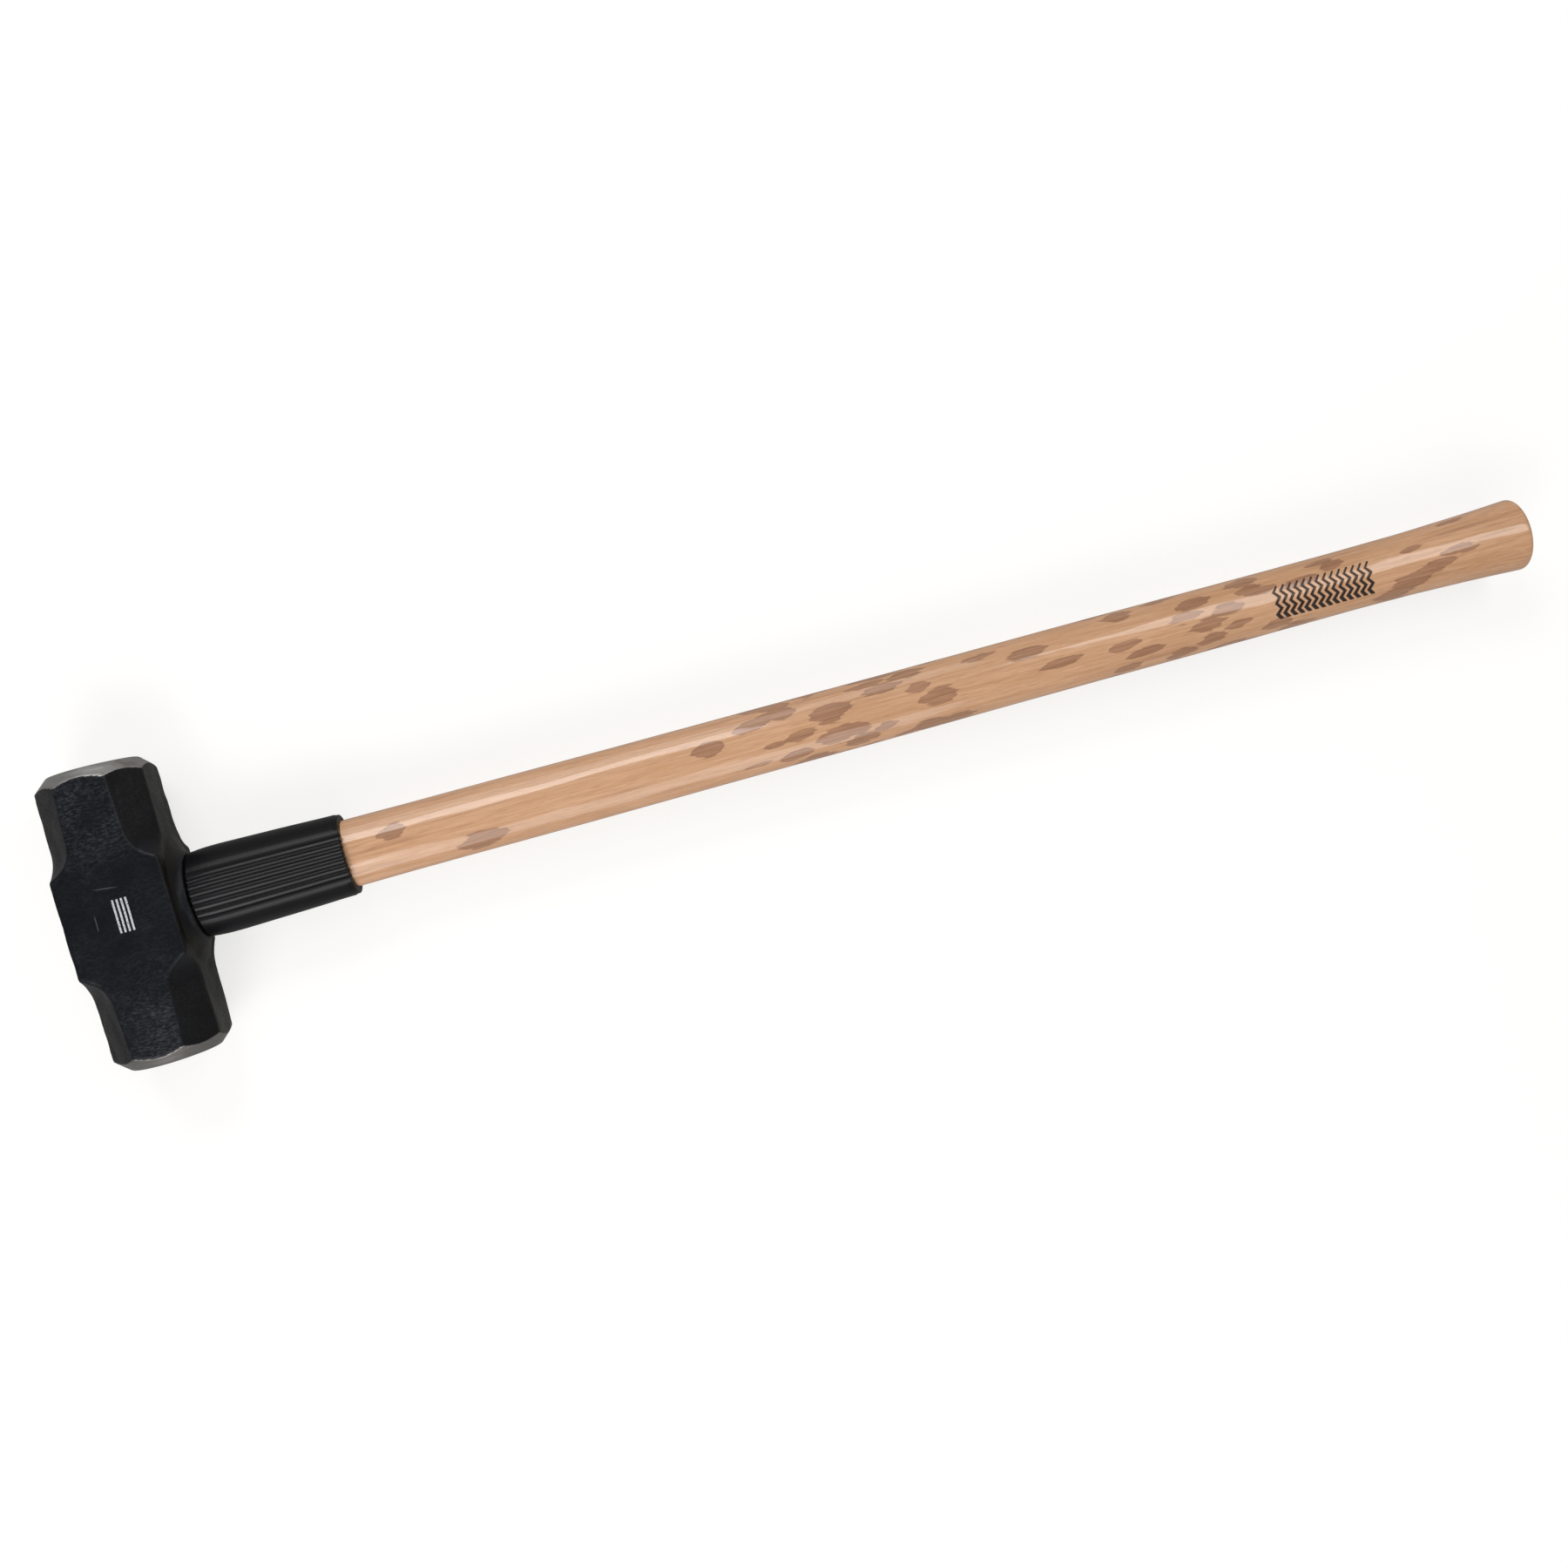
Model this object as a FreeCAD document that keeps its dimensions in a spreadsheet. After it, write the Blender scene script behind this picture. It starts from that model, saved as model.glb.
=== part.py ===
import FreeCAD, Part
import os
import re
import Sketcher
from FreeCAD import Placement, Rotation, Vector

# A double-faced sledgehammer on a long oval wooden handle, lying on one cheek.
# +X runs from the eye along the handle to its butt, +Y along the striking axis, +Z up
# through the cheeks. The origin is the centre of the lower cheek, straight under the eye.
# Each sub-part is modelled about the eye's centre, then lifted by half the head's width.

DIMENSIONS = [
    ("overall_length", 895.0, "top of the head to the butt of the handle"),
    # forged head
    ("head_length", 173.5, "from one striking face's crown to the other"),
    ("head_width", 61.0, "across the flats, both ways"),
    ("corner_leg_face", 17.0, "corner cut's leg, next to the striking face"),
    ("corner_leg_cove", 15.5, "corner cut's leg, where its cove begins"),
    ("cove_start", 45.5, "from the eye's centre to where the cove begins"),
    ("cove_radius", 20.0, "hollow that runs out from the corner cut to the square middle"),
    ("face_radius", 25.0, "flat-looking disc of the striking face"),
    ("crown_radius", 560.0, "slight crown of the striking face"),
    ("bevel_angle", 46.0, "turned bevel, from the striking axis, in degrees"),
    ("corner_rounding", 2.5, "edges of the square middle"),
    # raised collar around the eye, on the handle's side
    ("collar_root", 1.0, "how deep the collar's foot starts under the flat"),
    ("collar_height", 6.5, "above the flat"),
    ("collar_width", 52.4, "collar's mouth, along the striking axis"),
    ("collar_depth", 48.6, "collar's mouth, through the cheeks"),
    ("flare_width", 31.6, "how much wider the collar's foot is than its mouth"),
    ("flare_depth", 9.8, "how much deeper the collar's foot is than its mouth"),
    # eye and the handle's tenon in it
    ("eye_width", 38.0, "at the waist, along the striking axis"),
    ("eye_depth", 28.0, "at the waist, through the cheeks"),
    ("eye_flare_top", 3.0, "how much bigger the eye is at the top of the head"),
    ("eye_flare_collar", 0.6, "how much bigger the eye is at the collar"),
    ("tenon_recess", 0.8, "tenon's end, below the top of the head"),
    ("fit_gap", 0.05, "glue line between two parts that fit together"),
    # handle
    ("shaft_width", 39.3, "beyond the sleeve, along the striking axis"),
    ("shaft_flatness", 0.87, "depth of the oval over its width"),
    ("neck_swell", 1.2, "how much wider the shaft is where it leaves the head"),
    ("neck_end", 157.0, "from the eye's centre to where that swell has run out"),
    ("waist_width", 38.2, "where the shaft is thinnest, and its flare begins"),
    ("flare_start", 752.0, "from the eye's centre to where the flare begins"),
    ("butt_width", 44.8, "where the flare ends"),
    ("butt_rounding", 2.5, "edge of the butt"),
    # wedges
    ("wood_wedge_length", 40.0, "wooden wedge, along the handle"),
    ("wood_wedge_thick_end", 6.0, "its thickness at the top of the head"),
    ("wood_wedge_thin_end", 1.6, "its thickness at the other end"),
    ("kerf_relief", 4.0, "saw cut that goes on past the wooden wedge"),
    ("steel_wedge_length", 26.0, "each steel wedge, along the handle"),
    ("steel_wedge_width", 22.0, "through the cheeks"),
    ("steel_wedge_thick_end", 4.0, "its thickness at the top of the head"),
    ("steel_wedge_thin_end", 1.0, "its thickness at the other end"),
    ("steel_wedge_spacing", 18.0, "between the two, along the striking axis"),
    ("barb_depth", 0.25, "how far the barbs stand out of a steel wedge's sides"),
    # rubber sleeve that guards the handle under the head
    ("sleeve_gap", 0.5, "between the collar and the sleeve"),
    ("sleeve_length", 87.5, "along the handle"),
    ("sleeve_grip_width", 48.3, "at the hands' end, along the striking axis"),
    ("sleeve_taper", 4.4, "how much its width would grow from there to the collar"),
    ("sleeve_mouth_drop", 2.8, "how much its mouth at the collar is drawn in"),
    ("sleeve_shoulder", 12.0, "how short the drawn-in stretch is: its curve's power"),
    ("sleeve_depth_ratio", 0.89, "depth of its oval over its width"),
    ("groove_count", 8.0, "grooves between the ribs of each cheek side"),
    ("groove_pitch", 9.6, "degrees from groove to groove"),
    ("groove_width", 1.2, "across the handle"),
    ("groove_depth", 0.9, "under the ribs"),
    ("groove_foot", 10.0, "distance from the handle's axis at which a groove's cut begins"),
    ("sleeve_rounding", 0.8, "outer edges of both ends"),
    # room that a cutting tool leaves beyond the solid that it cuts
    ("cut_margin", 3.0, "beyond the solid's outside"),
]

# Each stretch of the shaft is lofted through this many even steps
STRETCH_STEPS = 4

# Stretches of the shaft, each by the first and last of its ovals; the first oval is the eye's mouth
NECK = (0, 4)
GRIP = (4, 8)
FLARE = (8, 12)

# Where the sleeve's ovals are, as shares of its length: closer together at its drawn-in mouth
SLEEVE_SHARES = (0, 0.1, 0.25, 0.5, 0.75, 1)

# Where the collar's ovals are, as shares of its height
COLLAR_SHARES = (0, 0.2, 0.4, 0.7, 1)

# Barbs of a steel wedge, as shares of its length from the thick end
BARB_STATIONS = (0.25, 0.45, 0.65)

# Angles, in degrees, at which a rounded end's quarter circle is sampled
ROUNDING_ANGLES = (0, 22.5, 45, 67.5, 90)

SHEET_NAMES = {alias: "Dimensions." + alias for alias, _, _ in DIMENSIONS}

# Two lengths in millimetres, or two volumes in cubic millimetres, that differ by less are the same
SAME_LENGTH = 0.01
SAME_VOLUME = 1.0

FULL_TURN = 360
CORNERS_OF_BAR = 4

doc = FreeCAD.newDocument("Sledgehammer")
sheet = doc.addObject("Spreadsheet::Sheet", "Dimensions")
probe = doc.addObject("App::FeaturePython", "Probe")
probe.addProperty("App::PropertyFloat", "Result")


def fill_sheet():
    """Writes every driving dimension into the sheet under its alias."""
    for row, (alias, value, note) in enumerate(DIMENSIONS, start=1):
        sheet.set(f"A{row}", alias)
        sheet.set(f"B{row}", str(value))
        sheet.set(f"C{row}", note)
        sheet.setAlias(f"B{row}", alias)
    doc.recompute()


def size(text):
    """An expression in which each word that names a dimension points at the sheet."""
    return re.sub("[a-z_]+", lambda word: SHEET_NAMES.get(word[0], word[0]), text)


def number(text):
    """The value that an expression has now."""
    probe.setExpression("Result", size(text))
    probe.recompute()
    return probe.Result


def origin_feature(body, role):
    """The body's own origin plane or axis."""
    return next(item for item in body.Origin.OriginFeatures if item.Role == role)


def add_body(name):
    """A body that sits at the eye's centre, half a head's width above the floor."""
    body = doc.addObject("PartDesign::Body", name)
    body.Label = name
    body.setExpression("Placement.Base.z", size("head_width / 2"))
    return body


def add_sketch(body, name, plane, offset="0", turn=Rotation()):
    """An empty sketch on one of the body's origin planes, moved along its normal."""
    sketch = body.newObject("Sketcher::SketchObject", name)
    sketch.AttachmentSupport = [(origin_feature(body, plane), "")]
    sketch.MapMode = "FlatFace"
    sketch.AttachmentOffset = Placement(Vector(), turn)
    sketch.setExpression("AttachmentOffset.Base.z", size(offset))
    return sketch


def constrain(sketch, kind, *references, to=None):
    """Adds one constraint, and binds it to the sheet if it has a size."""
    if to is None:
        sketch.addConstraint(Sketcher.Constraint(kind, *references))
        return
    index = sketch.addConstraint(Sketcher.Constraint(kind, *references, number(to)))
    sketch.setExpression(f"Constraints[{index}]", size(to))


def add_outline(sketch, corners):
    """A closed outline of straight lines, each corner placed by two expressions."""
    points = [Vector(number(across), number(along), 0) for across, along in corners]
    lines = []
    for start, end in zip(points, points[1:] + points[:1]):
        lines.append(sketch.addGeometry(Part.LineSegment(start, end)))
    for line, following in zip(lines, lines[1:] + lines[:1]):
        constrain(sketch, "Coincident", line, 2, following, 1)
    for line, (across, along) in zip(lines, corners):
        constrain(sketch, "DistanceX", -1, 1, line, 1, to=across)
        constrain(sketch, "DistanceY", -1, 1, line, 1, to=along)


def add_box_outline(sketch, left, right, half_height):
    """A rectangle, centred on the sketch's horizontal axis."""
    add_outline(sketch, [
        (left, f"-({half_height})"),
        (right, f"-({half_height})"),
        (right, half_height),
        (left, half_height),
    ])


def add_oval(body, name, station, width, depth):
    """An oval across the handle: its width along Y, its depth along Z."""
    sketch = add_sketch(body, name, "YZ_Plane", station)
    oval = sketch.addGeometry(Part.Ellipse(Vector(), number(width) / 2, number(depth) / 2))
    sketch.exposeInternalGeometry(oval)
    long_axis = oval + 1
    short_axis = oval + 2
    constrain(sketch, "Coincident", oval, 3, -1, 1)
    constrain(sketch, "Horizontal", long_axis)
    constrain(sketch, "Distance", long_axis, to=width)
    constrain(sketch, "Distance", short_axis, to=depth)
    return sketch


def add_loft(body, kind, name, ovals):
    """A smooth loft, AdditiveLoft or SubtractiveLoft, through ovals given as expressions."""
    sketches = [
        add_oval(body, f"{name}_oval_{index}", *oval) for index, oval in enumerate(ovals, start=1)
    ]
    loft = body.newObject("PartDesign::" + kind, name)
    loft.Profile = sketches[0]
    loft.Sections = sketches[1:]
    doc.recompute()
    return checked(loft)


def add_rounded_end(body, name, oval, radius, direction):
    """Carries a solid that ends at an oval on by a quarter circle, to a smaller flat end."""
    station, width, depth = oval
    shrink = [f"2 * {radius} * (1 - cos({angle}))" for angle in ROUNDING_ANGLES]
    add_loft(body, "AdditiveLoft", name, [
        (
            f"{station} + {direction} * {radius} * sin({angle})",
            f"{width} - {less}",
            f"{depth} - {less}",
        )
        for angle, less in zip(ROUNDING_ANGLES, shrink)
    ])


def add_pocket(body, name, sketch, length):
    """A pocket cut to both sides of its sketch."""
    pocket = body.newObject("PartDesign::Pocket", name)
    pocket.Profile = sketch
    pocket.SideType = "Symmetric"
    pocket.setExpression("Length", size(length))
    doc.recompute()
    return checked(pocket)


def add_pad(body, name, sketch, length):
    """A pad raised to both sides of its sketch."""
    pad = body.newObject("PartDesign::Pad", name)
    pad.Profile = sketch
    pad.SideType = "Symmetric"
    pad.setExpression("Length", size(length))
    doc.recompute()
    return checked(pad)


def add_fillet(body, name, base, radius, wanted):
    """Rounds every edge of the base feature that the test wants."""
    edges = [
        f"Edge{index}" for index, edge in enumerate(base.Shape.Edges, start=1) if wanted(edge)
    ]
    fillet = body.newObject("PartDesign::Fillet", name)
    fillet.Base = (base, edges)
    fillet.setExpression("Radius", size(radius))
    doc.recompute()
    return checked(fillet)


def checked(feature):
    """The feature, once its shape is known to be sound."""
    if feature.Shape.isNull() or not feature.Shape.isValid() or feature.Shape.Volume <= 0:
        raise RuntimeError(f"{feature.Name} has no valid shape")
    return feature


def check_cut(before, feature):
    """A cut that removes nothing shows no error, so the volumes are compared."""
    if checked(feature).Shape.Volume > before - SAME_VOLUME:
        raise RuntimeError(f"{feature.Name} removes no material")


# ---------------------------------------------------------------- head


def eye_ovals(gap):
    """The eye, or with a gap the tenon that fills it: waisted, and flared at the top."""
    beyond_top = "eye_flare_top * (1 + 2 * cut_margin / head_width)"
    stations = [
        ("-head_width / 2 - cut_margin", beyond_top),
        ("-head_width / 4", "eye_flare_top / 3"),
        ("head_width / 8", "0"),
        ("head_width / 2 + collar_height", "eye_flare_collar"),
    ]
    return [
        (station, f"eye_width + {flare} - 2 * {gap}", f"eye_depth + {flare} - 2 * {gap}")
        for station, flare in stations
    ]


def add_corner_cuts(body):
    """Cuts the bar's corners to 45 degree flats that run out in coves towards the middle."""
    towards_corner = Rotation(Vector(0, 1, 0), 45)
    sketch = add_sketch(body, "corner_cut_outline", "XY_Plane", turn=towards_corner)
    for direction in (1, -1):
        add_corner_outline(sketch, direction)
    before = body.Shape.Volume
    cut = add_pocket(body, "corner_cut", sketch, "head_width")
    check_cut(before, cut)
    pattern = body.newObject("PartDesign::PolarPattern", "corner_cuts")
    pattern.Originals = [cut]
    pattern.Axis = (origin_feature(body, "Y_Axis"), [""])
    pattern.Angle = FULL_TURN
    pattern.Occurrences = CORNERS_OF_BAR
    body.Tip = pattern
    doc.recompute()
    check_cut(cut.Shape.Volume, pattern)
    return pattern


def add_corner_outline(sketch, direction):
    """One corner cut, in the plane through the striking axis and the corner."""
    flat_at_face = "(head_width - corner_leg_face) / sqrt(2)"
    flat_at_cove = "(head_width - corner_leg_cove) / sqrt(2)"
    clear_of_corner = "head_width / sqrt(2) + cut_margin"
    face_end = f"{direction} * (head_length / 2 + cut_margin)"
    cove_end = f"{direction} * cove_start"
    inner = Vector(number(flat_at_face), number(face_end), 0)
    outer = Vector(number(clear_of_corner), inner.y, 0)
    foot = Vector(number(flat_at_cove), number(cove_end), 0)
    radius = number("cove_radius")
    centre = foot + Vector(radius, 0, 0)
    rise = (radius**2 - (centre.x - outer.x) ** 2) ** 0.5
    top = Vector(outer.x, centre.y - direction * rise, 0)
    flat = sketch.addGeometry(Part.LineSegment(inner, foot))
    cove = sketch.addGeometry(arc_about(centre, foot, top))
    back = sketch.addGeometry(Part.LineSegment(top, outer))
    end = sketch.addGeometry(Part.LineSegment(outer, inner))
    constrain(sketch, "Tangent", flat, 2, cove, end_at(sketch, cove, foot))
    constrain(sketch, "Coincident", cove, end_at(sketch, cove, top), back, 1)
    constrain(sketch, "Coincident", back, 2, end, 1)
    constrain(sketch, "Coincident", end, 2, flat, 1)
    constrain(sketch, "Vertical", back)
    constrain(sketch, "Horizontal", end)
    constrain(sketch, "DistanceX", -1, 1, flat, 1, to=flat_at_face)
    constrain(sketch, "DistanceY", -1, 1, flat, 1, to=face_end)
    constrain(sketch, "DistanceX", -1, 1, flat, 2, to=flat_at_cove)
    constrain(sketch, "DistanceY", -1, 1, flat, 2, to=cove_end)
    constrain(sketch, "DistanceX", -1, 1, back, 1, to=clear_of_corner)
    constrain(sketch, "Radius", cove, to="cove_radius")


def arc_about(centre, start, end):
    """The shorter arc between two points that lie equally far from a centre."""
    bulge = (start + end) * 0.5 - centre
    middle = centre + bulge.normalize() * (start - centre).Length
    return Part.Arc(start, middle, end)


def end_at(sketch, arc, point):
    """Which end of an arc lies at a point; a sketch numbers them against the clock."""
    return 1 if (sketch.getPoint(arc, 1) - point).Length < SAME_LENGTH else 2


def add_bevels(body):
    """Turns both ends: a slightly crowned face inside a conical bevel."""
    sketch = add_sketch(body, "bevel_outline", "XY_Plane")
    for direction in (1, -1):
        add_bevel_outline(sketch, direction)
    before = body.Shape.Volume
    groove = body.newObject("PartDesign::Groove", "bevels")
    groove.Profile = sketch
    groove.ReferenceAxis = (origin_feature(body, "Y_Axis"), [""])
    groove.Angle = FULL_TURN
    doc.recompute()
    check_cut(before, groove)
    return groove


def add_bevel_outline(sketch, direction):
    """The half section that is turned away at one end."""
    crown_drop = "(crown_radius - sqrt(crown_radius ^ 2 - face_radius ^ 2))"
    clear_radius = "(head_width / 2 + 2 * cut_margin)"
    rim = f"(head_length / 2 - {crown_drop})"
    back = f"{direction} * ({rim} - ({clear_radius} - face_radius) / tan(bevel_angle))"
    end = f"{direction} * (head_length / 2 + cut_margin)"
    apex = f"{direction} * head_length / 2"
    apex_point = Vector(0, number(apex), 0)
    rim_point = Vector(number("face_radius"), direction * number(rim), 0)
    back_point = Vector(number(clear_radius), number(back), 0)
    outer_point = Vector(back_point.x, number(end), 0)
    axis_point = Vector(0, outer_point.y, 0)
    centre = apex_point - Vector(0, direction * number("crown_radius"), 0)
    crown = sketch.addGeometry(arc_about(centre, apex_point, rim_point))
    corners = [rim_point, back_point, outer_point, axis_point, apex_point]
    bevel, side, top, axis = [
        sketch.addGeometry(Part.LineSegment(start, finish))
        for start, finish in zip(corners, corners[1:])
    ]
    crown_rim = end_at(sketch, crown, rim_point)
    crown_apex = end_at(sketch, crown, apex_point)
    constrain(sketch, "Coincident", crown, crown_rim, bevel, 1)
    constrain(sketch, "Coincident", bevel, 2, side, 1)
    constrain(sketch, "Coincident", side, 2, top, 1)
    constrain(sketch, "Coincident", top, 2, axis, 1)
    constrain(sketch, "Coincident", axis, 2, crown, crown_apex)
    constrain(sketch, "PointOnObject", crown, 3, -2)
    constrain(sketch, "PointOnObject", crown, crown_apex, -2)
    constrain(sketch, "Vertical", axis)
    constrain(sketch, "Horizontal", top)
    constrain(sketch, "Vertical", side)
    constrain(sketch, "DistanceY", -1, 1, axis, 2, to=apex)
    constrain(sketch, "DistanceY", -1, 1, axis, 1, to=end)
    constrain(sketch, "Radius", crown, to="crown_radius")
    constrain(sketch, "DistanceX", -1, 1, bevel, 1, to="face_radius")
    constrain(sketch, "DistanceX", -1, 1, bevel, 2, to=clear_radius)
    constrain(sketch, "DistanceY", -1, 1, bevel, 2, to=back)


def on_flat(distance):
    """Whether a distance from the striking axis is that of a cheek or another flat."""
    return abs(abs(distance) - number("head_width / 2")) < SAME_LENGTH


def is_square_corner(edge):
    """A straight edge of the bar that the corner cuts have left."""
    return all(on_flat(end.Point.x) and on_flat(end.Point.z) for end in edge.Vertexes)


def is_cove_rim(edge):
    """The curved edge where a cove meets a cheek or another flat."""
    if isinstance(edge.Curve, Part.Line) or len(edge.Vertexes) < 2:
        return False
    middle = edge.valueAt((edge.FirstParameter + edge.LastParameter) / 2)
    return abs(middle.y) < number("cove_start") and (on_flat(middle.x) or on_flat(middle.z))


def make_head():
    """A square bar with coved corner cuts, turned ends, a collar and an eye."""
    body = add_body("head")
    section = add_sketch(body, "bar_section", "XZ_Plane")
    add_box_outline(section, "-head_width / 2", "head_width / 2", "head_width / 2")
    add_pad(body, "bar", section, "head_length")
    corner_cuts = add_corner_cuts(body)
    rounded = add_fillet(
        body, "corner_roundings", corner_cuts, "corner_rounding",
        lambda edge: is_square_corner(edge) or is_cove_rim(edge),
    )
    body.Tip = rounded
    add_bevels(body)
    add_loft(body, "AdditiveLoft", "collar", [
        (
            f"head_width / 2 - collar_root + {share} * (collar_height + collar_root)",
            f"collar_width + (1 - {share}) ^ 2 * flare_width",
            f"collar_depth + (1 - {share}) ^ 2 * flare_depth",
        )
        for share in COLLAR_SHARES
    ])
    before = body.Shape.Volume
    check_cut(before, add_loft(body, "SubtractiveLoft", "eye", eye_ovals("0")))
    return body


# ---------------------------------------------------------------- handle


def shaft_ovals(gap):
    """The handle outside the eye, or with a negative gap the bore of a part around it."""
    mouth = "(head_width / 2 + collar_height)"
    butt = "(overall_length - head_width / 2 - butt_rounding)"
    steps = [step / STRETCH_STEPS for step in range(1, STRETCH_STEPS + 1)]
    neck = [f"(shaft_width + (1 - {share} ^ 2) * neck_swell)" for share in steps]
    grip = [f"(shaft_width + {share} * (waist_width - shaft_width))" for share in steps]
    flare = [f"(waist_width + {share} ^ 2 * (butt_width - waist_width))" for share in steps]
    ovals = [eye_ovals(gap)[-1]]
    for start, end, widths in (
        (mouth, "neck_end", neck),
        ("neck_end", "flare_start", grip),
        ("flare_start", butt, flare),
    ):
        for share, width in zip(steps, widths):
            ovals.append((
                f"{start} + {share} * ({end} - {start})",
                f"{width} - 2 * {gap}",
                f"{width} * shaft_flatness - 2 * {gap}",
            ))
    return ovals


def add_tenon(body):
    """The tapered end that fills the eye, cut off just below the top of the head."""
    add_loft(body, "AdditiveLoft", "tenon", eye_ovals("fit_gap"))
    before = body.Shape.Volume
    waste = add_sketch(body, "tenon_end_outline", "XY_Plane")
    add_box_outline(waste, "-head_width", "-head_width / 2 + tenon_recess", "head_width")
    check_cut(before, add_pocket(body, "tenon_end", waste, "2 * head_width"))


def wooden_wedge_half(share, gap):
    """Half the wooden wedge's thickness at a share of its length, and the gap beside it."""
    taper = "(wood_wedge_thick_end - wood_wedge_thin_end)"
    return f"(wood_wedge_thick_end - {share} * {taper}) / 2 + {gap}"


def add_kerf(body):
    """The saw cut that the wooden wedge spreads, seen along the striking axis."""
    top = "-head_width / 2 - cut_margin"
    wedge_top = "(-head_width / 2 + tenon_recess)"
    mouth = wooden_wedge_half("(-(cut_margin + tenon_recess) / wood_wedge_length)", "fit_gap")
    foot = wooden_wedge_half("1", "fit_gap")
    tip = f"{wedge_top} + wood_wedge_length"
    relief = f"{tip} + kerf_relief"
    outline = add_sketch(body, "kerf_outline", "XZ_Plane")
    add_outline(outline, [
        (top, f"-({mouth})"),
        (tip, f"-({foot})"),
        (relief, f"-({foot})"),
        (relief, foot),
        (tip, foot),
        (top, mouth),
    ])
    before = body.Shape.Volume
    check_cut(before, add_pocket(body, "kerf", outline, "2 * head_width"))


def steel_wedge_corners(side, gap):
    """Outline of one barbed steel wedge; the barbs' steep sides face the way back out."""
    top = "(-head_width / 2 + tenon_recess)"
    taper = "(steel_wedge_thick_end - steel_wedge_thin_end)"
    centre = f"{side} * steel_wedge_spacing / 2"

    def half(share):
        return f"((steel_wedge_thick_end - {share} * {taper}) / 2 + {gap})"

    flank = [(top, half(0))]
    for share in BARB_STATIONS:
        along = f"{top} + {share} * steel_wedge_length"
        flank.append((along, half(share)))
        flank.append((along, f"({half(share)} + barb_depth)"))
    flank.append((f"{top} + steel_wedge_length + {gap}", half(1)))
    lower = [(along, f"{centre} - {across}") for along, across in flank]
    upper = [(along, f"{centre} + {across}") for along, across in reversed(flank)]
    return lower + upper


def add_steel_wedge_slots(body):
    """The slots that the two steel wedges have cut for themselves in the wood."""
    outline = add_sketch(body, "steel_wedge_slot_outline", "XY_Plane")
    for side in (-1, 1):
        add_outline(outline, steel_wedge_corners(side, "fit_gap"))
    before = body.Shape.Volume
    slots = add_pocket(body, "steel_wedge_slots", outline, "steel_wedge_width + 2 * fit_gap")
    check_cut(before, slots)


def add_shaft_stretch(body, kind, name, stretch, gap):
    """One stretch of the shaft, or of a bore around it."""
    first, last = stretch
    return add_loft(body, kind, name, shaft_ovals(gap)[first:last + 1])


def make_handle():
    """An oval shaft with a flared butt, and a tenon that is sawn and wedged in the eye."""
    body = add_body("handle")
    add_shaft_stretch(body, "AdditiveLoft", "neck", NECK, "fit_gap")
    add_shaft_stretch(body, "AdditiveLoft", "grip", GRIP, "fit_gap")
    add_shaft_stretch(body, "AdditiveLoft", "flare", FLARE, "fit_gap")
    add_rounded_end(body, "butt", shaft_ovals("fit_gap")[-1], "butt_rounding", 1)
    add_tenon(body)
    add_kerf(body)
    add_steel_wedge_slots(body)
    return body


# ---------------------------------------------------------------- wedges


def make_wooden_wedge():
    """The wedge that spreads the tenon through the cheeks, trimmed to the eye's oval."""
    body = add_body("wooden_wedge")
    add_tenon(body)
    top = "(-head_width / 2 + tenon_recess)"
    tip = f"{top} + wood_wedge_length"
    far = "head_width"
    thick = wooden_wedge_half("0", "0")
    thin = wooden_wedge_half("1", "0")
    outline = add_sketch(body, "wooden_wedge_waste", "XZ_Plane")
    add_box_outline(outline, f"-{far}", far, far)
    add_outline(outline, [
        (top, f"-({thick})"),
        (tip, f"-({thin})"),
        (tip, thin),
        (top, thick),
    ])
    before = body.Shape.Volume
    check_cut(before, add_pocket(body, "wooden_wedge_faces", outline, "2 * head_width"))
    add_steel_wedge_slots(body)
    return body


def make_steel_wedges():
    """Two barbed wedges, driven across the wooden one."""
    body = add_body("steel_wedges")
    outline = add_sketch(body, "steel_wedge_outlines", "XY_Plane")
    for side in (-1, 1):
        add_outline(outline, steel_wedge_corners(side, "0"))
    add_pad(body, "steel_wedge_pair", outline, "steel_wedge_width")
    return body


# ---------------------------------------------------------------- sleeve


def sleeve_ovals(inset):
    """The barrel-shaped outside of the sleeve, or with an inset the foot of its grooves."""
    start = "head_width / 2 + collar_height + sleeve_gap + sleeve_rounding"
    ovals = []
    for share in SLEEVE_SHARES:
        cone = f"sleeve_grip_width + (1 - {share}) * sleeve_taper"
        width = f"({cone} - (1 - {share}) ^ sleeve_shoulder * sleeve_mouth_drop)"
        ovals.append((
            f"{start} + {share} * (sleeve_length - 2 * sleeve_rounding)",
            f"{width} - 2 * {inset}",
            f"{width} * sleeve_depth_ratio - 2 * {inset}",
        ))
    return ovals


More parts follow.
